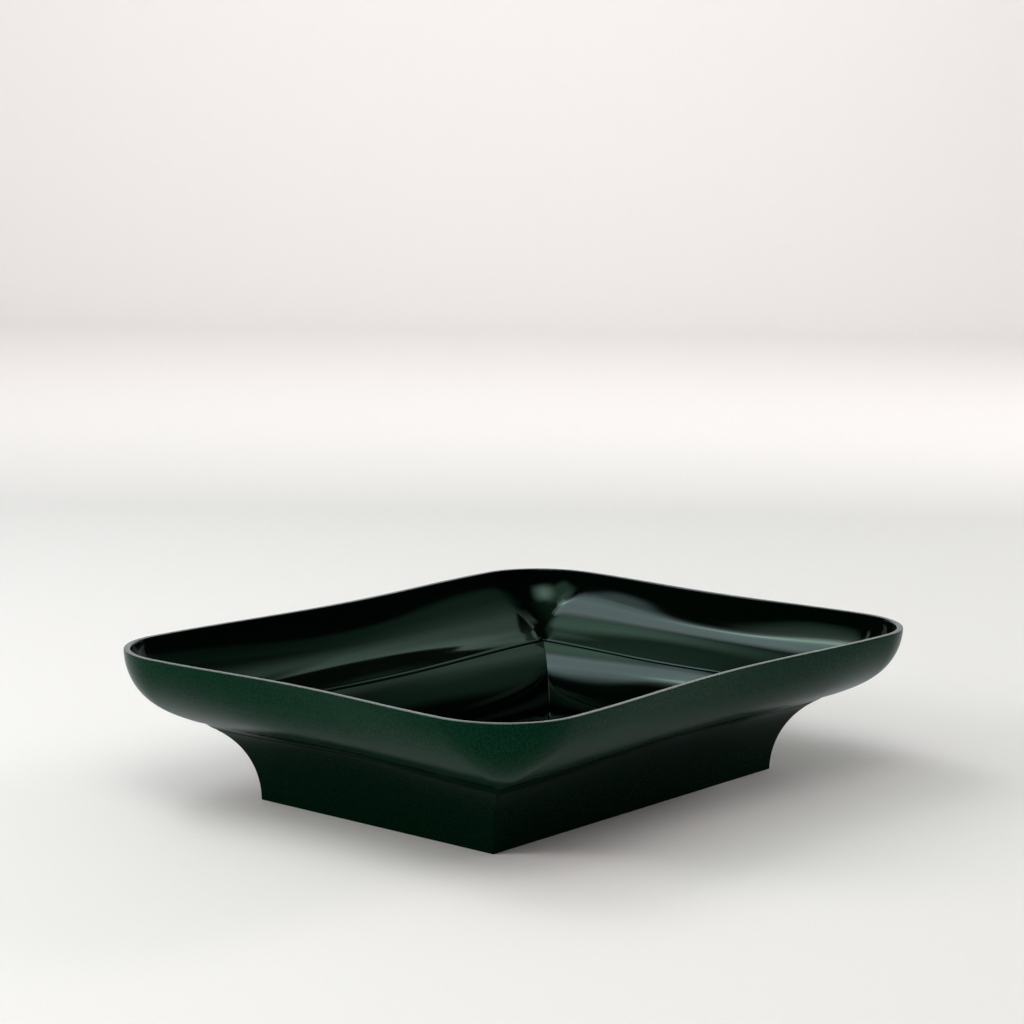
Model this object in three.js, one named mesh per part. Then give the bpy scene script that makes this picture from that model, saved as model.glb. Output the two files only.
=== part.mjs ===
// Rectangular flower tray: a shallow dish with round corners and pinched sides, bonded by a rebated
// lap joint on a hollow foot that flares out of a sharp-cornered rectangle. Millimetres, +Z up.
import * as THREE from 'three';

// Plan and heights
const footLength = 200;
const footWidth = 132;
const trayHeight = 68;
const seamHeight = 34.5;
const seamOverhang = 19.5;
const rimOverhang = 53;
const rimCornerRadius = 38;

// How far the middle of a side is drawn in from the line between its corners, at the seam and at the rim,
// and how that bows in between: the low value steers the lower half of the dish, the high value the upper
const seamPinch = 6.2;
const rimPinchShort = 4.1;
const rimPinchLong = 5.8;
const lowBowShort = -5;
const highBowShort = 8;
const lowBowLong = -3.6;
const highBowLong = 7.6;

// Outer profile: slopes where the cove meets the belly and at the rim, and the pull of each curve's ends
const seamSlope = THREE.MathUtils.degToRad(22.4);
const rimFlare = THREE.MathUtils.degToRad(1);
const coveRise = 10.7;
const coveRun = 17;
const bellyRun = 27;
const bellyRise = 10;

// Corners: sharp on the foot, a little round at the seam, wide open at the rim, and filled inside the dish
const cornerOpening = 1.63;
const seamRadius = 6.5;
const roundingStart = 9;
const cornerFill = 5;
const fillDistance = 9;

// The dish's lower edge rolls down a little over the seam
const edgeRoll = 0.5;
const rollDistance = 4;

// Walls, and the layers of the lap joint from the outside in
const rimWall = 2.8;
const rimEdge = 0.4;
const skin = 1.2;
const tongue = 1.5;
const lip = 1.2;
const jointGap = 0.3;
const tongueLength = 5;
const lipLap = 1.2;
const sealWidth = 1.2;
const footWall = skin + jointGap + tongue;
const jointWall = footWall + jointGap + lip;
const grooveDepth = tongueLength + jointGap + sealWidth + jointGap;

// Floor of the well and the thickening of its side, and the standing edge round the shallow recess under it
const floorThickness = 3.5;
const wellFillet = 5;
const wellFill = 4.5;
const wellReach = 21.3;
const wellPower = 1.6;
const standingEdge = 6;
const baseRecess = 1.2;
const recessDraft = 1;

// Facets
const sideSteps = 12;
const cornerSteps = 8;
const coveSteps = 12;
const bellySteps = 14;
const filletSteps = 4;

const gloss = { color: 0x0a1a15, roughness: 0.12, metalness: 0 };
const satin = { color: 0x0a1a15, roughness: 0.3, metalness: 0 };
const seal = { color: 0x101412, roughness: 0.8, metalness: 0 };

const cove = new THREE.CubicBezierCurve(
  new THREE.Vector2(0, 0),
  new THREE.Vector2(0, coveRise),
  new THREE.Vector2(
    seamOverhang - coveRun * Math.cos(seamSlope),
    seamHeight - coveRun * Math.sin(seamSlope),
  ),
  new THREE.Vector2(seamOverhang, seamHeight),
);

const belly = new THREE.CubicBezierCurve(
  new THREE.Vector2(seamOverhang, seamHeight),
  new THREE.Vector2(
    seamOverhang + bellyRun * Math.cos(seamSlope),
    seamHeight + bellyRun * Math.sin(seamSlope),
  ),
  new THREE.Vector2(
    rimOverhang - bellyRise * Math.sin(rimFlare),
    trayHeight - bellyRise * Math.cos(rimFlare),
  ),
  new THREE.Vector2(rimOverhang, trayHeight),
);

const coveLength = cove.getLength();
const bellyLength = belly.getLength();

// How open the corners are: 0 at the seam and below it, 1 at the rim.
function openness(overhang) {
  return Math.max(0, (overhang - seamOverhang) / (rimOverhang - seamOverhang));
}

function outerRadius(overhang) {
  if (overhang < seamOverhang) {
    const opened = Math.max(0, (overhang - roundingStart) / (seamOverhang - roundingStart));
    return seamRadius * opened ** 2;
  }
  const open = openness(overhang);
  return Math.hypot(rimCornerRadius * open ** cornerOpening, seamRadius * (1 - open));
}

// A number that leaves a, is steered by b and c, and ends at d.
function bow(a, b, c, d, t) {
  const u = 1 - t;
  return a * u ** 3 + 3 * b * t * u ** 2 + 3 * c * t ** 2 * u + d * t ** 3;
}

// Rises from 0 to 1 at the peak and dies away after it.
function hump(distance, peak) {
  const u = Math.max(0, distance / peak);
  return u * Math.exp(1 - u);
}

// One level of the tray: its overhang beyond the foot, its height, and the shape of its outline there.
// The outer point is where the same level meets the outer face.
function level(overhang, height, outer = new THREE.Vector2(overhang, height), fill = 0) {
  const flared = THREE.MathUtils.clamp(outer.x / seamOverhang, 0, 1);
  const risen = THREE.MathUtils.clamp((outer.y - seamHeight) / (trayHeight - seamHeight), 0, 1);
  return {
    overhang,
    height,
    radius: Math.max(0, outerRadius(outer.x) + fill - (outer.x - overhang)),
    pinchShort: flared * bow(seamPinch, lowBowShort, highBowShort, rimPinchShort, risen),
    pinchLong: flared * bow(seamPinch, lowBowLong, highBowLong, rimPinchLong, risen),
  };
}

// The level at a distance along the outer profile from the seam (below it negative), at a depth in the wall.
function wallLevel(distance, depth, fill = 0) {
  const curve = distance < 0 ? cove : belly;
  const along = distance < 0 ? 1 + distance / coveLength : distance / bellyLength;
  const outer = curve.getPointAt(along);
  const tangent = curve.getTangentAt(along);
  const roll = depth === 0 ? edgeRoll * hump(distance, rollDistance) : 0;
  return level(outer.x - depth * tangent.y, outer.y + depth * tangent.x - roll, outer, fill);
}

function outline({ overhang, height, radius, pinchShort, pinchLong }) {
  const halfLength = footLength / 2 + overhang;
  const halfWidth = footWidth / 2 + overhang;
  const points = [];
  const sides = [
    { turn: 0, reach: halfLength, half: halfWidth, pinch: pinchShort },
    { turn: 1, reach: halfWidth, half: halfLength, pinch: pinchLong },
    { turn: 2, reach: halfLength, half: halfWidth, pinch: pinchShort },
    { turn: 3, reach: halfWidth, half: halfLength, pinch: pinchLong },
  ];
  for (const { turn, reach, half, pinch } of sides) {
    const angle = turn * Math.PI / 2;
    const place = (out, across) => {
      const x = out * Math.cos(angle) - across * Math.sin(angle);
      const y = out * Math.sin(angle) + across * Math.cos(angle);
      points.push(new THREE.Vector3(x, y, height));
    };
    for (let i = 0; i < sideSteps; i++) {
      const t = -1 + 2 * i / sideSteps;
      place(reach - pinch * (1 + Math.cos(Math.PI * t)) / 2, (half - radius) * t);
    }
    for (let i = 0; i < cornerSteps; i++) {
      const a = i / cornerSteps * Math.PI / 2;
      place(reach - radius + radius * Math.cos(a), half - radius + radius * Math.sin(a));
    }
  }
  return points;
}

// A closed body through a list of levels. A ring body joins its last level to its first. A cup body,
// whose levels run from its underside round to its inner floor, is capped flat at both.
function loft(levels, isRing) {
  const rings = levels.map(outline);
  const count = rings[0].length;
  const positions = [];
  const triangle = (a, b, c) => {
    if (a.distanceTo(b) > 1e-6 && b.distanceTo(c) > 1e-6 && c.distanceTo(a) > 1e-6) {
      positions.push(...a.toArray(), ...b.toArray(), ...c.toArray());
    }
  };
  const last = isRing ? rings.length : rings.length - 1;
  for (let i = 0; i < last; i++) {
    const low = rings[i];
    const high = rings[(i + 1) % rings.length];
    for (let j = 0; j < count; j++) {
      const k = (j + 1) % count;
      triangle(low[j], low[k], high[k]);
      triangle(low[j], high[k], high[j]);
    }
  }
  if (!isRing) {
    const first = rings[0];
    const final = rings[rings.length - 1];
    const under = new THREE.Vector3(0, 0, first[0].z);
    const floor = new THREE.Vector3(0, 0, final[0].z);
    for (let j = 0; j < count; j++) {
      const k = (j + 1) % count;
      triangle(under, first[k], first[j]);
      triangle(floor, final[j], final[k]);
    }
  }
  const geometry = new THREE.BufferGeometry();
  geometry.setAttribute('position', new THREE.Float32BufferAttribute(positions, 3));
  geometry.computeVertexNormals();
  return geometry;
}

function steps(from, to, count) {
  return Array.from({ length: count + 1 }, (_, i) => THREE.MathUtils.lerp(from, to, i / count));
}

// The distance below the seam at which the cove's outer face has a given height.
function distanceAtHeight(height) {
  let low = 0;
  let high = 1;
  for (let i = 0; i < 40; i++) {
    const middle = (low + high) / 2;
    if (cove.getPointAt(middle).y < height) {
      low = middle;
    } else {
      high = middle;
    }
  }
  return (low - 1) * coveLength;
}

function dishWall(distance) {
  const thinning = Math.max(0, distance - grooveDepth) / (bellyLength - grooveDepth);
  return THREE.MathUtils.lerp(jointWall, rimWall, thinning);
}

function buildDish() {
  const rimInner = rimOverhang - rimWall;
  const rimStart = bellyLength - rimEdge;
  const rim = new THREE.Vector2(rimOverhang, trayHeight);
  const hollowLevel = (s) => wallLevel(s, dishWall(s), cornerFill * hump(s, fillDistance));
  const levels = [
    ...steps(jointGap, rimStart, bellySteps).map((s) => wallLevel(s, 0)),
    level(rimOverhang - rimEdge, trayHeight, rim),
    level(rimInner + rimEdge, trayHeight, rim),
    ...steps(rimStart, 0, bellySteps).map(hollowLevel),
    wallLevel(-lipLap, jointWall),
    wallLevel(-lipLap, footWall + jointGap),
    wallLevel(0, footWall + jointGap),
    wallLevel(grooveDepth, footWall + jointGap),
    wallLevel(grooveDepth, skin),
    wallLevel(jointGap, skin),
  ];
  const mesh = new THREE.Mesh(loft(levels, true), new THREE.MeshStandardMaterial(gloss));
  mesh.name = 'dish';
  return mesh;
}

// The foot's wall thickens below the lip, so the side of the well is flatter at its top.
function footWallAt(distance) {
  const below = Math.max(0, -distance - lipLap);
  return footWall + wellFill * (1 - Math.exp(-((below / wellReach) ** wellPower)));
}

function buildFoot() {
  const floorTop = baseRecess + floorThickness;
  const filletTop = distanceAtHeight(floorTop + wellFillet);
  const wallFoot = wallLevel(filletTop, footWallAt(filletTop));
  const filletLevels = [];
  for (let i = 1; i <= filletSteps; i++) {
    const a = i / filletSteps * Math.PI / 2;
    const overhang = wallFoot.overhang - wellFillet * (1 - Math.cos(a));
    filletLevels.push(level(overhang, wallFoot.height - (wallFoot.height - floorTop) * Math.sin(a)));
  }
  const levels = [
    level(-standingEdge - recessDraft, baseRecess),
    level(-standingEdge, 0),
    ...steps(-coveLength, 0, coveSteps).map((s) => wallLevel(s, 0)),
    wallLevel(0, skin + jointGap),
    wallLevel(tongueLength, skin + jointGap),
    wallLevel(tongueLength, footWall),
    ...steps(0, filletTop, coveSteps).map((s) => wallLevel(s, footWallAt(s))),
    ...filletLevels,
  ];
  const mesh = new THREE.Mesh(loft(levels, false), new THREE.MeshStandardMaterial(satin));
  mesh.name = 'foot';
  return mesh;
}

function buildSeal() {
  const start = tongueLength + jointGap;
  const end = start + sealWidth;
  const levels = [
    wallLevel(start, skin + jointGap),
    wallLevel(end, skin + jointGap),
    wallLevel(end, footWall),
    wallLevel(start, footWall),
  ];
  const mesh = new THREE.Mesh(loft(levels, true), new THREE.MeshStandardMaterial(seal));
  mesh.name = 'joint_seal';
  return mesh;
}

const tray = new THREE.Group();
tray.add(buildFoot(), buildSeal(), buildDish());

export default tray;
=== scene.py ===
# %% [markdown]
# # A green flower tray
# The tray is a thin moulded dish with round corners and gently pinched sides. It stands on a hollow
# foot that starts as a sharp rectangle and flares out to meet the dish, so the middle of the tray
# is a sunken well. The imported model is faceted, so this notebook lays dense smooth shells over it
# and dresses them in dark plastic.

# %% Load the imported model
import math

import bmesh
import bpy
import numpy as np
from mathutils import Matrix, Quaternion, Vector


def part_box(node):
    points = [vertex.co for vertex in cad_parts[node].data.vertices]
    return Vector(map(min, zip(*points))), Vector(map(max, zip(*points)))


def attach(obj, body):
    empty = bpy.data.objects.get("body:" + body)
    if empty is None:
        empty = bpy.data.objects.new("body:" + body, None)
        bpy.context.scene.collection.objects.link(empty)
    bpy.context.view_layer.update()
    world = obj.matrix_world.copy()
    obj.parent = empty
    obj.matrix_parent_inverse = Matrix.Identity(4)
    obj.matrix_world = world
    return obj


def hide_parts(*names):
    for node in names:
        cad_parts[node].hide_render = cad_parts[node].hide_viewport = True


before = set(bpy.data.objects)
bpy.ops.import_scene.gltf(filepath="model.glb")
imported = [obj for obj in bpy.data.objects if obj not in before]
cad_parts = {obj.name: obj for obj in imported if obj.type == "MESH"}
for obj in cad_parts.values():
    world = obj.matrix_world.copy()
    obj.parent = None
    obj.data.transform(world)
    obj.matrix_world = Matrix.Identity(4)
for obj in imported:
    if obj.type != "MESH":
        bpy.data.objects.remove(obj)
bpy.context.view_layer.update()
scene = bpy.context.scene
scene.view_settings.view_transform = "Standard"

# %% [markdown]
# ## The camera
# The photograph was taken from a little above the table with a long lens, so the tray shows little
# perspective. The place and the three angles come from lining up the foot's corners and the rim
# with the picture. The camera is turned about the vertical first, then tilted down, and last rolled
# a little, as a hand would set a tripod.

# %% Put the camera at the photograph's viewing angle
CAMERA_PLACE = (-0.9532, -0.7685, 0.3068)
CAMERA_AZIMUTH = math.radians(50.81)
CAMERA_TILT = math.radians(8.52)
CAMERA_ROLL = math.radians(0.9)
LENS = 98.27
SENSOR_WIDTH = 36


def add_camera():
    bpy.ops.object.camera_add(location=CAMERA_PLACE)
    camera = bpy.context.object
    turned = Matrix.Rotation(-CAMERA_AZIMUTH, 4, "Z")
    tilted = Matrix.Rotation(math.pi / 2 - CAMERA_TILT, 4, "X")
    rolled = Matrix.Rotation(CAMERA_ROLL, 4, "Z")
    camera.matrix_world = Matrix.Translation(CAMERA_PLACE) @ turned @ tilted @ rolled
    camera.data.lens = LENS
    camera.data.sensor_width = SENSOR_WIDTH
    camera.data.sensor_fit = "HORIZONTAL"
    return camera


scene.camera = add_camera()
print("camera distance in metres:", round(Vector(CAMERA_PLACE).length, 3))

# %% [markdown]
# ## Plan and heights
# The foot is 200 mm long. The seam is the level where the hollow of the foot turns into the belly
# of the dish, and distances up and down the wall are counted from there. The tray's height and the
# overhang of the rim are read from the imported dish, so both stay true to it.

# %% Sizes of the tray in metres
FOOT_LENGTH = 0.200
FOOT_WIDTH = 0.132
SEAM_HEIGHT = 0.0345
SEAM_OVERHANG = 0.0195

dish_low, dish_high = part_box("dish")
TRAY_HEIGHT = dish_high.z
RIM_OVERHANG = dish_high.x - FOOT_LENGTH / 2
print("the packed dish stands between", round(dish_low.z, 4), "and", round(TRAY_HEIGHT, 4))
print("rim overhang", round(RIM_OVERHANG, 4))

# %% [markdown]
# ## The outer profile
# Cut through the tray and its outside is one long wave: a hollow cove on the foot, then the round
# belly of the dish. Each half is a Bezier curve, and they share one slope at the seam, so light
# runs across it unbroken. The points are counted by their distance along the curve, because even
# rings need even steps of real length.

# %% Draw the cove and the belly
SEAM_SLOPE = math.radians(22.4)
RIM_FLARE = math.radians(1)
COVE_RISE = 0.0107
COVE_RUN = 0.017
BELLY_RUN = 0.027
BELLY_RISE = 0.010
CURVE_POINTS = 600


def bezier(ends):
    t = np.linspace(0, 1, CURVE_POINTS)[:, None]
    a, b, c, d = (np.array(p) for p in ends)
    points = (1 - t) ** 3 * a + 3 * (1 - t) ** 2 * t * b + 3 * (1 - t) * t**2 * c + t**3 * d
    along = np.concatenate([[0], np.cumsum(np.linalg.norm(np.diff(points, axis=0), axis=1))])
    return points, along


seam = np.array([SEAM_OVERHANG, SEAM_HEIGHT])
seam_run = np.array([math.cos(SEAM_SLOPE), math.sin(SEAM_SLOPE)])
rim = np.array([RIM_OVERHANG, TRAY_HEIGHT])
rim_run = np.array([math.sin(RIM_FLARE), math.cos(RIM_FLARE)])
cove, cove_along = bezier([(0, 0), (0, COVE_RISE), seam - COVE_RUN * seam_run, seam])
belly, belly_along = bezier([seam, seam + BELLY_RUN * seam_run, rim - BELLY_RISE * rim_run, rim])
COVE_LENGTH = cove_along[-1]
BELLY_LENGTH = belly_along[-1]
print("cove", round(COVE_LENGTH, 4), "belly", round(BELLY_LENGTH, 4))


# %% [markdown]
# A distance above the seam lies on the belly and one below it, with a minus sign, on the cove. The
# wall's thickness is measured square to the curve, so the direction of the curve is needed with
# each point.

# %% Find a point on the profile
NEARBY = 0.0002


def on_profile(distance):
    """The point at a distance along the profile, and the curve's direction there."""
    points, along = (cove, cove_along) if distance < 0 else (belly, belly_along)
    s = distance + COVE_LENGTH if distance < 0 else distance
    point = np.array([np.interp(s, along, points[:, i]) for i in (0, 1)])
    ahead = np.array([np.interp(min(s + NEARBY, along[-1]), along, points[:, i]) for i in (0, 1)])
    behind = np.array([np.interp(max(s - NEARBY, 0), along, points[:, i]) for i in (0, 1)])
    return point, (ahead - behind) / np.linalg.norm(ahead - behind)


def height_distance(height):
    """The distance on the cove where it has reached a height."""
    return float(np.interp(height, cove[:, 1], cove_along)) - COVE_LENGTH


print("the cove is half way up at", round(height_distance(SEAM_HEIGHT / 2), 4))


# %% [markdown]
# ## How the outline changes on the way up
# The foot's rectangle is straight and sharp. Towards the seam its sides draw in and its corners
# soften, and in the dish the corners open to a wide radius. The short and the long sides are
# pinched by different amounts, and the amount bows a little between seam and rim, which gives the
# rim its wave in the photograph.

# %% One outline of the tray
SEAM_PINCH = 0.0062
SHORT_PINCHES = (SEAM_PINCH, -0.005, 0.008, 0.0041)
LONG_PINCHES = (SEAM_PINCH, -0.0036, 0.0076, 0.0058)
RIM_RADIUS = 0.038
CORNER_OPENING = 1.63
SEAM_RADIUS = 0.0072
ROUNDING_START = 0.0138
EDGE_RADIUS = 0.0007
HOLLOW_EDGE_RADIUS = 0.0003


def mix(ends, u):
    """A number drawn along a Bezier curve of four."""
    a, b, c, d = ends
    return a * (1 - u) ** 3 + 3 * b * u * (1 - u) ** 2 + 3 * c * u**2 * (1 - u) + d * u**3


def outer_radius(outer, openness):
    """The corner's radius outside: it opens in the top of the cove and again towards the rim."""
    if outer < SEAM_OVERHANG:
        return SEAM_RADIUS * max(0.0, (outer - ROUNDING_START) / (SEAM_OVERHANG - ROUNDING_START)) ** 2
    return math.hypot(RIM_RADIUS * openness**CORNER_OPENING, SEAM_RADIUS * (1 - openness))


def level(overhang, height, outer=None, outer_height=None, fill=0.0):
    """How far an outline overhangs the foot, its height, its corner radius and its two pinches."""
    outer = overhang if outer is None else outer
    outer_height = height if outer_height is None else outer_height
    risen = min(1.0, max(0.0, (outer_height - SEAM_HEIGHT) / (TRAY_HEIGHT - SEAM_HEIGHT)))
    openness = max(0.0, (outer - SEAM_OVERHANG) / (RIM_OVERHANG - SEAM_OVERHANG))
    flared = min(1.0, max(0.0, outer / SEAM_OVERHANG))
    radius = outer_radius(outer, openness) + fill - (outer - overhang)
    sharpest = EDGE_RADIUS if outer == overhang else HOLLOW_EDGE_RADIUS
    short = flared * mix(SHORT_PINCHES, risen)
    long = flared * mix(LONG_PINCHES, risen)
    return overhang, height, max(sharpest, radius), short, long


print("corner radius at the rim:", round(level(RIM_OVERHANG, TRAY_HEIGHT)[2], 4))

# %% [markdown]
# ## The wall
# The inside follows the outside at the wall's thickness, measured square to the profile. The inside
# corners just above the seam are filled rounder than the outside, as a moulder does to let the
# plastic flow.

# %% An outline at a depth in the wall
CORNER_FILL = 0.005
FILL_DISTANCE = 0.009


def hump(distance, peak):
    """Rises from 0 to 1 at the peak and dies away."""
    u = max(0.0, distance / peak)
    return u * math.exp(1 - u)


def wall(distance, depth, fill=0.0):
    """The outline at a distance along the profile and a depth in from the outside."""
    (x, z), (run, rise) = on_profile(distance)
    return level(x - depth * rise, z + depth * run, x, z, fill)


def spread(start, end, count):
    return [float(x) for x in np.linspace(start, end, count)]


print("outline 10 mm above the seam:", [round(float(v), 4) for v in wall(0.010, 0)])

# %% [markdown]
# ## From an outline to points
# Every outline has the same number of points, so the rings can be joined one to one. Each side dips
# inwards as a single cosine wave and each corner is a quarter circle. The four sides are one side
# turned about the middle.

# %% Place the points of an outline
SIDE_STEPS = 48
CORNER_STEPS = 20
RING_POINTS = 4 * (SIDE_STEPS + CORNER_STEPS)


def outline(one_level):
    overhang, height, radius, short, long = one_level
    half_length = FOOT_LENGTH / 2 + overhang
    half_width = FOOT_WIDTH / 2 + overhang
    t = np.linspace(-1, 1, SIDE_STEPS, endpoint=False)
    a = np.linspace(0, math.pi / 2, CORNER_STEPS, endpoint=False)
    dip = (1 + np.cos(math.pi * t)) / 2
    end_and_side = ((half_length, half_width, short), (half_width, half_length, long))
    sides = []
    for turn in range(4):
        reach, half, pinch = end_and_side[turn % 2]
        out = np.concatenate([reach - pinch * dip, reach - radius + radius * np.cos(a)])
        across = np.concatenate([(half - radius) * t, half - radius + radius * np.sin(a)])
        c, s = ((1, 0), (0, 1), (-1, 0), (0, -1))[turn]
        sides.append(np.stack([out * c - across * s, out * s + across * c], axis=1))
    flat = np.concatenate(sides)
    return np.column_stack([flat, np.full(len(flat), height)])


print("points round each outline:", RING_POINTS)


# %% [markdown]
# ## Building a shell
# A shell starts as a plain circle. In edit mode its edge loop is laid on the first outline, then
# extruded, and each new loop is laid on the next outline, like stacking hoops. The loops carry two
# numbers, their place round the outline and their turn in the stack, so that later steps can pick a
# loop by its number.

# %% Start a shell and extrude it
def lay_ring(shell, one_level, number):
    bm = bmesh.from_edit_mesh(shell.data)
    around = bm.verts.layers.int["around"]
    ring = bm.verts.layers.int["ring"]
    places = outline(one_level)
    for v in bm.verts:
        if v.select:
            v.co = places[v[around]]
            v[ring] = number
    bmesh.update_edit_mesh(shell.data)


def start_shell(name, first):
    bpy.ops.object.select_all(action="DESELECT")
    bpy.ops.mesh.primitive_circle_add(vertices=RING_POINTS, radius=FOOT_LENGTH / 2)
    shell = bpy.context.object
    shell.name = name
    bpy.ops.object.mode_set(mode="EDIT")
    bpy.ops.mesh.select_mode(type="EDGE")
    bpy.ops.mesh.select_all(action="SELECT")
    bm = bmesh.from_edit_mesh(shell.data)
    around = bm.verts.layers.int.new("around")
    bm.verts.layers.int.new("ring")
    for v in bm.verts:
        v[around] = v.index
    lay_ring(shell, first, 0)
    return shell


def extrude_levels(shell, levels):
    for number, one_level in enumerate(levels, start=1):
        bpy.ops.mesh.extrude_region_move()
        lay_ring(shell, one_level, number)


# %% [markdown]
# Some loops become edges with a small bevel, because a moulded edge is never perfectly sharp and a
# bevel catches a thin line of light. Whole bands of the shell get their own finish: the inside is
# polished, the outside has a fine grain. Last, all faces are turned outwards and smoothed wherever
# they meet gently.

# %% Pick loops, mark finishes and close the work on a shell
SMOOTH_ANGLE = math.radians(40)


def pick_rings(shell, numbers):
    bpy.ops.mesh.select_all(action="DESELECT")
    bm = bmesh.from_edit_mesh(shell.data)
    ring = bm.verts.layers.int["ring"]
    for e in bm.edges:
        if e.verts[0][ring] == e.verts[1][ring] and e.verts[0][ring] in numbers:
            e.select = True
    bm.select_flush_mode()
    bmesh.update_edit_mesh(shell.data)


def mark_finish(shell, finish, low, high):
    """Gives one finish to all the faces between two loops."""
    bm = bmesh.from_edit_mesh(shell.data)
    ring = bm.verts.layers.int["ring"]
    for f in bm.faces:
        numbers = [v[ring] for v in f.verts]
        if min(numbers) >= low and max(numbers) <= high:
            f.material_index = finish
    bmesh.update_edit_mesh(shell.data)


def close_shell(shell):
    bpy.ops.mesh.select_all(action="SELECT")
    bpy.ops.mesh.normals_make_consistent(inside=False)
    bpy.ops.object.mode_set(mode="OBJECT")
    for name in ("around", "ring"):
        shell.data.attributes.remove(shell.data.attributes[name])
    bpy.ops.object.shade_smooth_by_angle(angle=SMOOTH_ANGLE)
    print(shell.name, "faces:", len(shell.data.polygons))


# %% [markdown]
# ## The dish
# On the real tray the dish is a separate moulding. Its lower edge is a rebate: a skin outside, a
# groove for the foot's tongue, and a lip that covers the joint from the inside. The skin ends 3 mm
# above the seam, where the photograph shows the joint as a dark line. The layers are thicknesses
# and gaps that a moulder would choose, counted inwards from the outside.

# %% Sizes of the joint and of the dish's wall
JOINT_LINE = 0.0030
RIM_WALL = 0.0028
SKIN = 0.0012
TONGUE = 0.0015
LIP = 0.0012
GAP = 0.0003
LIP_LAP = 0.0012
GROOVE_DEPTH = 0.0068
FOOT_WALL = SKIN + GAP + TONGUE
JOINT_WALL = FOOT_WALL + GAP + LIP


def dish_wall(distance):
    """The dish's wall thins evenly from the joint to the rim."""
    thinning = max(0.0, distance - GROOVE_DEPTH) / (BELLY_LENGTH - GROOVE_DEPTH)
    return JOINT_WALL + (RIM_WALL - JOINT_WALL) * thinning


print("wall at the joint", round(JOINT_WALL, 4), "half way up", round(dish_wall(BELLY_LENGTH / 2), 4))

# %% [markdown]
# One stack of loops goes up the outside, over the cut rim, down the polished inside and through the
# rebate back to its start, so the shell is closed. A face's finish is a number: 0 is the satin that
# every face starts with, and two bands get the numbers of the gloss and of the cut rim.

# %% Build the dish
WALL_RINGS = 48
INSIDE_END = 0.001
MERGE_DISTANCE = 0.000001
RIM_BEVEL = 0.00045
LIP_BEVEL = 0.00025
JOINT_BEVEL = 0.0002
GLOSS = 1
RIM_CUT = 2


def build_dish():
    outside = [wall(s, 0) for s in spread(JOINT_LINE + GAP, BELLY_LENGTH, WALL_RINGS)]
    inside = [
        wall(s, dish_wall(s), CORNER_FILL * hump(s, FILL_DISTANCE))
        for s in spread(BELLY_LENGTH, INSIDE_END, WALL_RINGS)
    ]
    inside[0] = level(RIM_OVERHANG - RIM_WALL, TRAY_HEIGHT, RIM_OVERHANG, TRAY_HEIGHT)
    rebate = [
        wall(0, JOINT_WALL),
        wall(-LIP_LAP, JOINT_WALL),
        wall(-LIP_LAP, FOOT_WALL + GAP),
        wall(0, FOOT_WALL + GAP),
        wall(GROOVE_DEPTH, FOOT_WALL + GAP),
        wall(GROOVE_DEPTH, SKIN),
        wall(JOINT_LINE + GAP, SKIN),
    ]
    shell = start_shell("tray_dish", outside[0])
    extrude_levels(shell, outside[1:] + inside + rebate + outside[:1])
    rim_outside = WALL_RINGS - 1
    rim_inside = WALL_RINGS
    lip_edge = 2 * WALL_RINGS + 1
    mark_finish(shell, RIM_CUT, rim_outside, rim_inside)
    mark_finish(shell, GLOSS, rim_inside, lip_edge)
    bpy.ops.mesh.select_all(action="SELECT")
    bpy.ops.mesh.remove_doubles(threshold=MERGE_DISTANCE)
    pick_rings(shell, [rim_outside, rim_inside])
    bpy.ops.mesh.bevel(offset=RIM_BEVEL, segments=3, affect="EDGES")
    pick_rings(shell, [lip_edge, lip_edge + 1])
    bpy.ops.mesh.bevel(offset=LIP_BEVEL, segments=2, affect="EDGES")
    pick_rings(shell, [0])
    bpy.ops.mesh.bevel(offset=JOINT_BEVEL, segments=2, affect="EDGES")
    close_shell(shell)
    return shell


dish = build_dish()

# %% [markdown]
# ## The foot
# The foot is the second moulding: the cove outside, a tongue that stands in the dish's groove, and
# the well inside. The well's side is flatter at its top than the cove, which the reflections in the
# photograph show, so the wall thickens on its way down. The top of the foot is a narrow band that
# shows between two dark lines: the joint with the dish above it and a fine groove below.
# Underneath, a standing edge surrounds a shallow recess.

# %% Sizes of the foot and of its wall
TONGUE_LENGTH = 0.005
FLOOR_TOP = 0.0047
WELL_FILLET = 0.005
WELL_FILL = 0.0045
WELL_REACH = 0.0213
WELL_POWER = 1.6
STANDING_EDGE = 0.006
RECESS = 0.0012
GROOVE_LINE = -0.0062
GROOVE_WIDTH = 0.0009
GROOVE_SINK = 0.0005
BAND_STEP = 0.0004
SHADOW_GAP = 0.0009
LEDGE = -LIP_LAP - SHADOW_GAP
FLUSH_WALL = JOINT_WALL - GAP


def foot_wall(distance):
    """At its top the foot's wall is almost flush with the dish's lip, and it thickens below."""
    below = max(0.0, LEDGE - distance)
    return FLUSH_WALL + WELL_FILL * (1 - math.exp(-((below / WELL_REACH) ** WELL_POWER)))


print("foot's wall at its top", round(foot_wall(LEDGE), 4), "at the base", round(foot_wall(-COVE_LENGTH), 4))

# %% [markdown]
# This stack starts under the foot, goes up the outside, over the tongue and down the well to the
# floor. Its two ends are then filled with one face each. A flat border is laid round the floor and
# round the recess first, because a big face that meets a curved wall directly is shaded unevenly.

# %% Build the foot
SIDE_RINGS = 40
BAND_RINGS = 10
HIDDEN_RINGS = 12
WELL_RINGS = 46
FILLET_RINGS = 12
FLAT_BORDER = 0.004
STANDING_BEVEL = 0.0004


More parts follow.
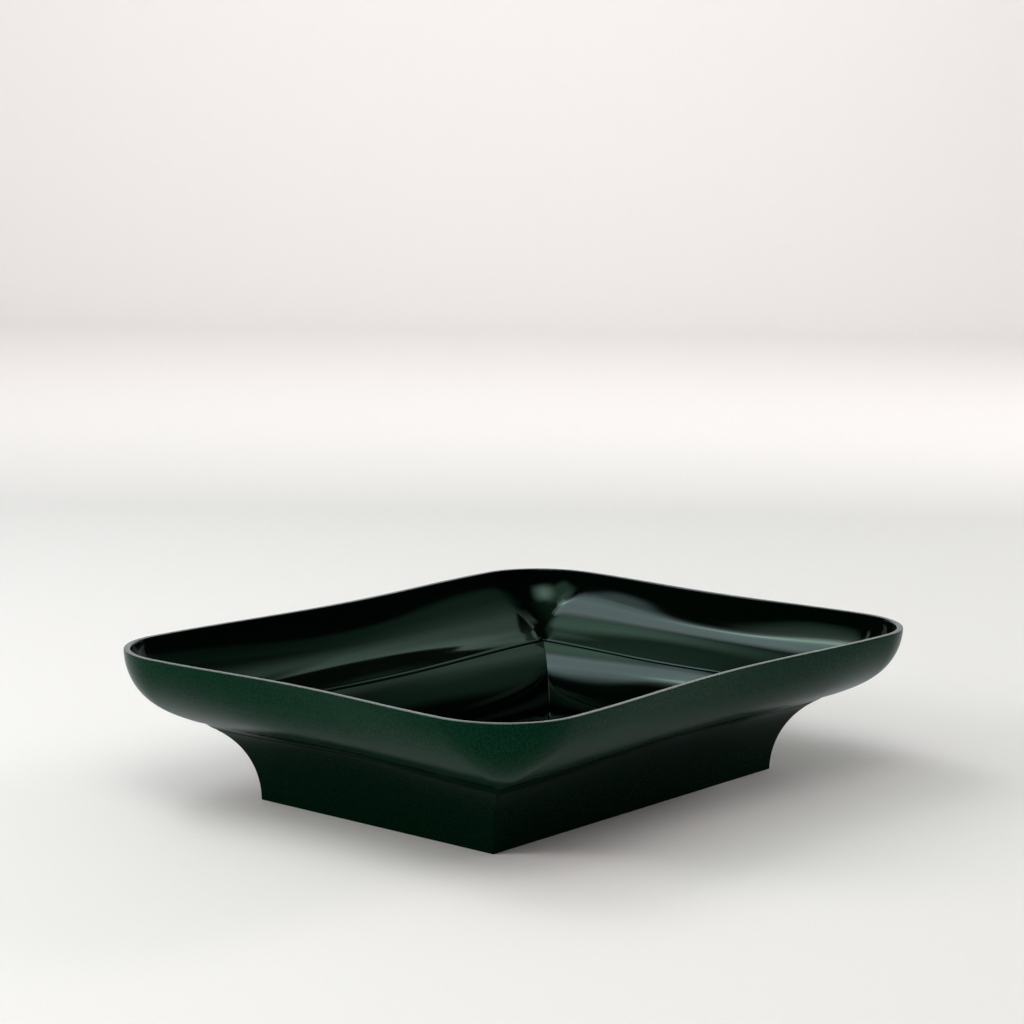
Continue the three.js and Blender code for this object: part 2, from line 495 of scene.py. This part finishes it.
def build_foot():
    low = GROOVE_LINE - GROOVE_WIDTH / 2
    high = GROOVE_LINE + GROOVE_WIDTH / 2
    side = [wall(s, 0) for s in spread(-COVE_LENGTH, low, SIDE_RINGS)]
    band = [
        wall(high + share * (JOINT_LINE - high), share * BAND_STEP)
        for share in spread(0, 1, BAND_RINGS)
    ]
    outside = side + [wall(GROOVE_LINE, GROOVE_SINK)] + band
    fillet_top = height_distance(FLOOR_TOP + WELL_FILLET)
    behind_lip = [wall(s, FOOT_WALL) for s in spread(TONGUE_LENGTH, LEDGE, HIDDEN_RINGS)]
    inside = [wall(s, foot_wall(s)) for s in spread(LEDGE, fillet_top, WELL_RINGS)]
    overhang, top = inside[-1][:2]
    fillet = [
        level(overhang - WELL_FILLET * (1 - math.cos(a)), top - (top - FLOOR_TOP) * math.sin(a))
        for a in spread(0, math.pi / 2, FILLET_RINGS)[1:]
    ]
    floor = [level(fillet[-1][0] - FLAT_BORDER, FLOOR_TOP)]
    recess_edge = -STANDING_EDGE - RECESS
    under = [
        level(recess_edge - FLAT_BORDER, RECESS),
        level(recess_edge, RECESS),
        level(-STANDING_EDGE, 0),
    ]
    tongue = [wall(JOINT_LINE, SKIN + GAP), wall(TONGUE_LENGTH, SKIN + GAP)]
    levels = under + outside + tongue + behind_lip + inside + fillet + floor
    joint_ring = len(under) + len(outside) - 1
    shell = start_shell("tray_foot", levels[0])
    extrude_levels(shell, levels[1:])
    bpy.ops.mesh.edge_face_add()
    mark_finish(shell, GLOSS, joint_ring + 2, len(levels))
    pick_rings(shell, [0])
    bpy.ops.mesh.edge_face_add()
    pick_rings(shell, [len(under) - 1, len(under)])
    bpy.ops.mesh.bevel(offset=STANDING_BEVEL, segments=3, affect="EDGES")
    pick_rings(shell, [joint_ring])
    bpy.ops.mesh.bevel(offset=JOINT_BEVEL, segments=2, affect="EDGES")
    close_shell(shell)
    return shell


foot = build_foot()


# %% [markdown]
# ## Plastic, to begin with
# Nearly all of the tray is one dark green plastic, so its finishes share a way of being made:
# constants sit on the shader's own sockets, and small noises in the piece's own coordinates change
# the colour, the roughness and the surface. A noise runs from about a third to two thirds, so that
# span is taken as its whole range where it changes a colour or a roughness.

# %% Helpers for the plastics
NOISE_LOW = 0.35
NOISE_HIGH = 0.65
ROUGHNESS_SWING = 0.02
WHITE = (1, 1, 1)


def new_plastic(name, colour, roughness, shine, tint):
    """The shine is how strongly the surface mirrors, and the tint colours what it mirrors."""
    material = bpy.data.materials.new(name)
    material.use_nodes = True
    shader = material.node_tree.nodes["Principled BSDF"]
    shader.inputs["Base Color"].default_value = (*colour, 1)
    shader.inputs["Roughness"].default_value = roughness
    shader.inputs["Specular IOR Level"].default_value = shine
    shader.inputs["Specular Tint"].default_value = (*tint, 1)
    return material


def add_noise(material, scale, detail):
    nodes, links = material.node_tree.nodes, material.node_tree.links
    place = nodes.new("ShaderNodeTexCoord")
    noise = nodes.new("ShaderNodeTexNoise")
    noise.inputs["Scale"].default_value = scale
    noise.inputs["Detail"].default_value = detail
    links.new(place.outputs["Object"], noise.inputs["Vector"])
    return noise


def vary_roughness(material, noise, low, high):
    nodes, links = material.node_tree.nodes, material.node_tree.links
    spread_out = nodes.new("ShaderNodeMapRange")
    spread_out.inputs["From Min"].default_value = NOISE_LOW
    spread_out.inputs["From Max"].default_value = NOISE_HIGH
    spread_out.inputs["To Min"].default_value = low
    spread_out.inputs["To Max"].default_value = high
    links.new(noise.outputs["Fac"], spread_out.inputs["Value"])
    links.new(spread_out.outputs["Result"], nodes["Principled BSDF"].inputs["Roughness"])


def vary_colour(material, noise, colour, swing):
    nodes, links = material.node_tree.nodes, material.node_tree.links
    ramp = nodes.new("ShaderNodeValToRGB")
    dark, light = ramp.color_ramp.elements
    dark.position, light.position = NOISE_LOW, NOISE_HIGH
    dark.color = (*(c * (1 - swing) for c in colour), 1)
    light.color = (*(c * (1 + swing) for c in colour), 1)
    links.new(noise.outputs["Fac"], ramp.inputs["Fac"])
    links.new(ramp.outputs["Color"], nodes["Principled BSDF"].inputs["Base Color"])


def roughen_surface(material, noise, height):
    nodes, links = material.node_tree.nodes, material.node_tree.links
    bump = nodes.new("ShaderNodeBump")
    bump.inputs["Distance"].default_value = height
    links.new(noise.outputs["Fac"], bump.inputs["Height"])
    links.new(bump.outputs["Normal"], nodes["Principled BSDF"].inputs["Normal"])


# %% [markdown]
# ## Satin outside
# The outside came from a mould with a fine texture, so it shows tiny speckles of lighter and darker
# green and no clear reflections. The speckle noise has grains under a millimetre, and it lifts the
# surface by only a few thousandths of a millimetre. A slow noise makes the sheen a little uneven,
# as handling does. The foot is the same plastic, but its colour and its shine are set lower as
# painted shade for the shade it stands in, and its steep sides are a little smoother.

# %% Make the satin plastics
SPECKLE_SCALE = 1300
SPECKLE_HEIGHT = 0.000006
SPECKLE_SWING = 0.45
HANDLING_SCALE = 25


def satin_plastic(name, colour, roughness, shine, tint):
    material = new_plastic(name, colour, roughness, shine, tint)
    speckle = add_noise(material, SPECKLE_SCALE, detail=2)
    vary_colour(material, speckle, colour, SPECKLE_SWING)
    roughen_surface(material, speckle, SPECKLE_HEIGHT)
    handling = add_noise(material, HANDLING_SCALE, detail=2)
    vary_roughness(material, handling, roughness - ROUGHNESS_SWING, roughness + ROUGHNESS_SWING)
    return material


satin_green = satin_plastic(
    "satin green plastic",
    colour=(0.0012, 0.021, 0.0095),
    roughness=0.24,
    shine=0.075,
    tint=(0.3, 1, 0.65),
)
# The foot's colour and shine are the dish's satin painted darker: painted shade for the shade under the
# dish.
foot_green_painted_shade = satin_plastic(
    "satin green plastic of the foot, painted darker for shade",
    colour=(0.0002, 0.009, 0.004),
    roughness=0.15,
    shine=0.03,
    tint=(0.2, 1, 0.5),
)
print("satin finishes:", satin_green.name, "/", foot_green_painted_shade.name)

# %% [markdown]
# ## Gloss inside
# The inside is polished and nearly black by itself. What the eye sees in it are long soft
# reflections of the windows, bent by the curve of the wall. A broad, very low swell in the surface
# keeps their edges from looking drawn with a ruler, and faint wiping marks change the roughness a
# little.

# %% Make the gloss plastic
SWELL_SCALE = 90
SWELL_HEIGHT = 0.000006
WIPING_SCALE = 35


def gloss_plastic(name, colour, roughness, shine, tint):
    material = new_plastic(name, colour, roughness, shine, tint)
    swell = add_noise(material, SWELL_SCALE, detail=1)
    roughen_surface(material, swell, SWELL_HEIGHT)
    wiping = add_noise(material, WIPING_SCALE, detail=5)
    vary_roughness(material, wiping, roughness, roughness + ROUGHNESS_SWING)
    return material


glossy_green = gloss_plastic(
    "glossy green plastic",
    colour=(0.00005, 0.0017, 0.0007),
    roughness=0.06,
    shine=0.45,
    tint=(0.64, 1, 0.81),
)
print("gloss finish:", glossy_green.name)

# %% [markdown]
# ## The cut rim and the sealant
# The rim was trimmed after moulding, so it is a flat, pale, slightly scratched line that catches
# the light. The sealant in the joint can't be seen from outside. It is a dark rubbery bead with a
# dull, uneven skin.

# %% Make the rim and sealant finishes
rim_cut = satin_plastic(
    "trimmed rim",
    colour=(0.03, 0.05, 0.04),
    roughness=0.25,
    shine=0.9,
    tint=WHITE,
)
cured_sealant = satin_plastic(
    "cured sealant",
    colour=(0.020, 0.024, 0.022),
    roughness=0.5,
    shine=0.4,
    tint=WHITE,
)
print("other finishes:", rim_cut.name, "/", cured_sealant.name)

# %% [markdown]
# ## Dressing the pieces
# Each shell takes the place of its imported piece: it rides on the root body and replaces that piece in
# the picture. The sealant's packed ring is kept as it is and only gets its finish.

# %% Give the pieces their finishes
for finish in (satin_green, glossy_green, rim_cut):
    dish.data.materials.append(finish)
for finish in (foot_green_painted_shade, glossy_green):
    foot.data.materials.append(finish)
for piece, node, slot_name in ((dish, "dish", "dish_plastic"), (foot, "foot", "foot_plastic")):
    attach(piece, "root")
    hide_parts(node)
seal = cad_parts["joint_seal"]
seal.data.materials.clear()
seal.data.materials.append(cured_sealant)
print("dressed:", dish.name, foot.name, seal.name)

# %% [markdown]
# ## Directions in the studio
# Lamps are easier to place by direction than by coordinates: so many degrees to the right of where
# the camera looks, so many degrees up, and so far away from the tray. One small function turns that
# into a place.

# %% Name a place round the tray
AHEAD = Vector((math.sin(CAMERA_AZIMUTH), math.cos(CAMERA_AZIMUTH), 0))
ACROSS = Vector((math.cos(CAMERA_AZIMUTH), -math.sin(CAMERA_AZIMUTH), 0))


def around_tray(turn, climb, distance):
    turn, climb = math.radians(turn), math.radians(climb)
    flat = AHEAD * math.cos(turn) + ACROSS * math.sin(turn)
    return distance * (flat * math.cos(climb) + Vector((0, 0, math.sin(climb))))


print("a metre to the right of the tray:", tuple(round(x, 3) for x in around_tray(90, 0, 1)))

# %% [markdown]
# ## The sweep
# The tray was photographed on a pale sweep: a floor that curves up into a wall behind it, so no
# edge shows. A grid's far edge is extruded along a quarter circle and then straight up. The paper
# looks a little brighter to the camera than it is to the light, which keeps the background white
# and the tray's shadow soft.

# %% Build the sweep
SWEEP_SIZE = 10
SWEEP_SHIFT = -2.6
CURVE_RADIUS = 0.8
CURVE_STEPS = 16
WALL_HEIGHT = 0.95
PAPER = (0.84, 0.84, 0.84)
SEEN_PAPER = (1.0, 0.94, 0.925)
PAPER_ROUGHNESS = 0.9
PAPER_SHINE = 0.1


def paper_material():
    material = bpy.data.materials.new("pale paper")
    material.use_nodes = True
    nodes, links = material.node_tree.nodes, material.node_tree.links
    either = nodes.new("ShaderNodeMix")
    either.data_type = "RGBA"
    either.inputs["A"].default_value = (*PAPER, 1)
    either.inputs["B"].default_value = (*SEEN_PAPER, 1)
    rays = nodes.new("ShaderNodeLightPath")
    links.new(rays.outputs["Is Camera Ray"], either.inputs["Factor"])
    links.new(either.outputs["Result"], nodes["Principled BSDF"].inputs["Base Color"])
    nodes["Principled BSDF"].inputs["Roughness"].default_value = PAPER_ROUGHNESS
    nodes["Principled BSDF"].inputs["Specular IOR Level"].default_value = PAPER_SHINE
    return material


def add_sweep():
    bpy.ops.object.select_all(action="DESELECT")
    bpy.ops.mesh.primitive_grid_add(
        x_subdivisions=1, y_subdivisions=1, size=SWEEP_SIZE, location=(0, SWEEP_SHIFT, 0)
    )
    sweep = bpy.context.object
    bpy.ops.object.transform_apply(location=True, rotation=False, scale=False)
    sweep.name = "paper sweep"
    bpy.ops.object.mode_set(mode="EDIT")
    bpy.ops.mesh.select_mode(type="EDGE")
    bpy.ops.mesh.select_all(action="DESELECT")
    bm = bmesh.from_edit_mesh(sweep.data)
    for e in bm.edges:
        e.select = all(v.co.y > 0 for v in e.verts)
    bmesh.update_edit_mesh(sweep.data)
    for k in range(CURVE_STEPS):
        a, b = (math.pi / 2 * j / CURVE_STEPS for j in (k, k + 1))
        back = CURVE_RADIUS * (math.sin(b) - math.sin(a))
        up = CURVE_RADIUS * (math.cos(a) - math.cos(b))
        bpy.ops.mesh.extrude_region_move(TRANSFORM_OT_translate={"value": (0, back, up)})
    bpy.ops.mesh.extrude_region_move(TRANSFORM_OT_translate={"value": (0, 0, WALL_HEIGHT)})
    bpy.ops.mesh.select_all(action="SELECT")
    bpy.ops.mesh.normals_make_consistent(inside=False)
    bpy.ops.object.mode_set(mode="OBJECT")
    sweep.rotation_euler.z = -CAMERA_AZIMUTH
    bpy.ops.object.transform_apply(location=True, rotation=True, scale=True)
    bpy.ops.object.shade_smooth_by_angle(angle=SMOOTH_ANGLE)
    sweep.data.materials.append(paper_material())
    return sweep


paper_sweep = add_sweep()
print("sweep faces:", len(paper_sweep.data.polygons))

# %% [markdown]
# ## The room's own light
# A pale room lights everything a little from all sides. It is kept out of the reflections, where
# the studio behind the lamps is dark, because the polished inside of the tray shows deep black
# between the windows.

# %% Light the room
AMBIENT = 0.22
MIRRORED_AMBIENT = 0.01

world = bpy.data.worlds.new("studio")
scene.world = world
world.use_nodes = True
background = world.node_tree.nodes["Background"]
background.inputs["Color"].default_value = (1, 1, 1, 1)
rays = world.node_tree.nodes.new("ShaderNodeLightPath")
room = world.node_tree.nodes.new("ShaderNodeMapRange")
room.inputs["To Min"].default_value = AMBIENT
room.inputs["To Max"].default_value = MIRRORED_AMBIENT
world.node_tree.links.new(rays.outputs["Is Glossy Ray"], room.inputs["Value"])
world.node_tree.links.new(room.outputs["Result"], background.inputs["Strength"])
print("room light:", AMBIENT, "in reflections:", MIRRORED_AMBIENT)

# %% [markdown]
# ## Softboxes with fading edges
# A softbox is brightest in the middle of its cloth and fades towards its edges. In a polished curve
# that fade is what makes a reflection look soft, so each lamp's glow is multiplied down near its
# four edges. A lamp's power grows with its area, so the glow given here is how bright its cloth
# looks, whatever its size.

# %% Helpers for the lamps
AIM = Vector((0, 0, 0.05))
SOFT = (0.5, 0.5, 0.5)
FIRM = (0.1, 0.1, 0.1)


def fade_edges(light, right, left, ends):
    """Each fade is a share of the cloth, and right and left are seen from the tray."""
    light.data.use_nodes = True
    nodes, links = light.data.node_tree.nodes, light.data.node_tree.links
    place = nodes.new("ShaderNodeNewGeometry")
    split = nodes.new("ShaderNodeSeparateXYZ")
    links.new(place.outputs["Parametric"], split.inputs["Vector"])
    strength = nodes["Emission"].inputs["Strength"]
    for axis, start, end in (("X", 0, right), ("X", 1, 1 - left), ("Y", 0, ends), ("Y", 1, 1 - ends)):
        fade = nodes.new("ShaderNodeMapRange")
        fade.interpolation_type = "SMOOTHSTEP"
        fade.inputs["From Min"].default_value = start
        fade.inputs["From Max"].default_value = end
        links.new(split.outputs[axis], fade.inputs["Value"])
        product = nodes.new("ShaderNodeMath")
        product.operation = "MULTIPLY"
        product.inputs[1].default_value = 1.0
        links.new(fade.outputs["Result"], product.inputs[0])
        links.new(product.outputs["Value"], strength)
        strength = product.inputs[1]


def add_softbox(name, place, size, glow, fades=FIRM, roll=0.0, colour=WHITE, mirrored=True, aim=AIM):
    """The size is width and height in metres. The roll turns the cloth in its own plane, in degrees."""
    bpy.ops.object.light_add(type="AREA", location=place)
    light = bpy.context.object
    light.name = name
    facing = (aim - place).to_track_quat("-Z", "Y") @ Quaternion((0, 0, 1), math.radians(roll))
    light.rotation_euler = facing.to_euler()
    light.data.shape = "RECTANGLE"
    light.data.size, light.data.size_y = size
    light.data.color = colour
    light.data.energy = glow * math.pi * size[0] * size[1]
    light.visible_glossy = mirrored
    fade_edges(light, *fades)
    print(name, "glow", glow, "power", round(light.data.energy, 2))


# %% [markdown]
# ## The window on the left
# The right-hand wall of the dish mirrors a large window high on the left. Seven lamps that overlap
# stand for it: the window as a whole, its brighter half, a sloping pane, one narrow slit that is
# very bright, a smaller window higher up, a low pane that ends in the dark and a window at the
# side. Most of that light is a little bluer than the rest of the room's. The places and sizes come
# from comparing the reflections in the render with those in the photograph.

# %% Hang the window
COOL = (0.95, 0.99, 1.12)

add_softbox("window", around_tray(-61.6, 56.2, 1.55), size=(0.93, 0.66), glow=0.88,
            fades=(0.13, 0.42, 0.03), roll=-5, colour=COOL)
add_softbox("brighter half", around_tray(-53.4, 53.9, 1.55), size=(0.83, 0.50), glow=1.2,
            fades=(0.12, 0.18, 0.03), roll=3, colour=COOL)
add_softbox("sloping pane", around_tray(-54, 57.6, 1.5), size=(0.47, 0.72), glow=1.4,
            fades=(0.98, 0.78, 0.16), roll=39, colour=COOL)
add_softbox("bright slit", around_tray(-66, 58, 1.5), size=(0.17, 0.5), glow=3.5, fades=SOFT)
add_softbox("high window", around_tray(-77.9, 64.4, 1.55), size=(0.70, 0.33), glow=1.9,
            fades=(0.31, 0.83, 0.23), roll=9)
add_softbox("low pane", around_tray(-77.6, 39.5, 1.55), size=(0.19, 0.76), glow=1.1,
            fades=(0.21, 0.52, 0.37), roll=24, colour=COOL)
add_softbox("side window", around_tray(-95, 59.3, 1.5), size=(0.64, 0.89), glow=0.73,
            fades=(0.29, 0.38, 0.50), roll=34)

# %% [markdown]
# ## The strips behind the tray
# Two strips stand behind the tray, left and right of the view. The right one is brightest at its
# inner edge and fades outwards, and a small strip low on that side makes the edge brighter still.
# Both lean, so their reflections follow the walls of the dish. Each has a dim green neighbour, the
# tone that the dark parts of the walls take.

# %% Hang the strips
GREENISH = (0.5, 1.0, 0.72)
MINT = (0.72, 1, 0.86)

add_softbox("left strip", around_tray(-24.2, 44, 1.5), size=(0.47, 0.86), glow=0.75,
            fades=(0.51, 0.16, 0.41), roll=34, colour=MINT)
add_softbox("dim left strip", around_tray(-11.7, 40.9, 1.5), size=(0.60, 1.03), glow=0.15,
            fades=(0.24, 0.09, 0.19), roll=-37, colour=GREENISH)
add_softbox("right strip", around_tray(33.1, 47.6, 1.5), size=(0.78, 0.72), glow=0.54,
            fades=(1.0, 0.3, 0.14), roll=-13, colour=MINT)
add_softbox("right strip's edge", around_tray(20, 38.5, 1.5), size=(0.30, 0.42), glow=0.7,
            fades=(1.0, 0.06, 0.2), colour=MINT)
add_softbox("dim right strip", around_tray(58.6, 37.8, 1.5), size=(1.60, 0.96), glow=0.19,
            fades=(0.69, 0.41, 0.35), roll=-47, colour=GREENISH)

# %% [markdown]
# ## Softboxes over and behind the camera
# One softbox over the camera makes the round highlight in the far corner of the dish. A large faint
# one fills the left side, and the ceiling is hardly brighter than the dark.

# %% Hang the softboxes
add_softbox("front softbox", around_tray(-181, 57.8, 1.8), size=(1.60, 1.80), glow=3.0,
            fades=(0.57, 0.58, 0.42), roll=12)
add_softbox("fill", around_tray(-136.4, 54.5, 1.6), size=(1.60, 1.64), glow=0.72,
            fades=(0.31, 0.32, 0.28), roll=-36, colour=MINT)
add_softbox("ceiling", around_tray(-39.2, 82.4, 1.9), size=(1.60, 1.67), glow=0.20,
            fades=(0.77, 0.16, 0.05), roll=-7, colour=GREENISH)

# %% [markdown]
# ## Light for the paper
# The paper needs more light than the tray's reflections show. These lamps light it from above, from
# low on the left and from low behind the tray on the right, so the shadow under the dish stays
# soft, and one washes the wall behind the tray. They are set not to be mirrored, as a photographer
# flags lamps off a polished surface.

# %% Light the paper
add_softbox("overhead", around_tray(-80, 70, 2.0), size=(1.7, 1.7), glow=0.9,
            fades=SOFT, mirrored=False)
add_softbox("low left lamp", around_tray(-104, 24, 2.0), size=(1.6, 1.0), glow=12.0,
            fades=SOFT, mirrored=False)
add_softbox("low back lamp", around_tray(60, 22, 2.2), size=(1.2, 0.6), glow=21.0,
            fades=SOFT, mirrored=False)
add_softbox("backdrop wash", around_tray(0, 62, 1.7), size=(3.0, 0.5), glow=10.5,
            mirrored=False, aim=around_tray(0, 36, 2.6))
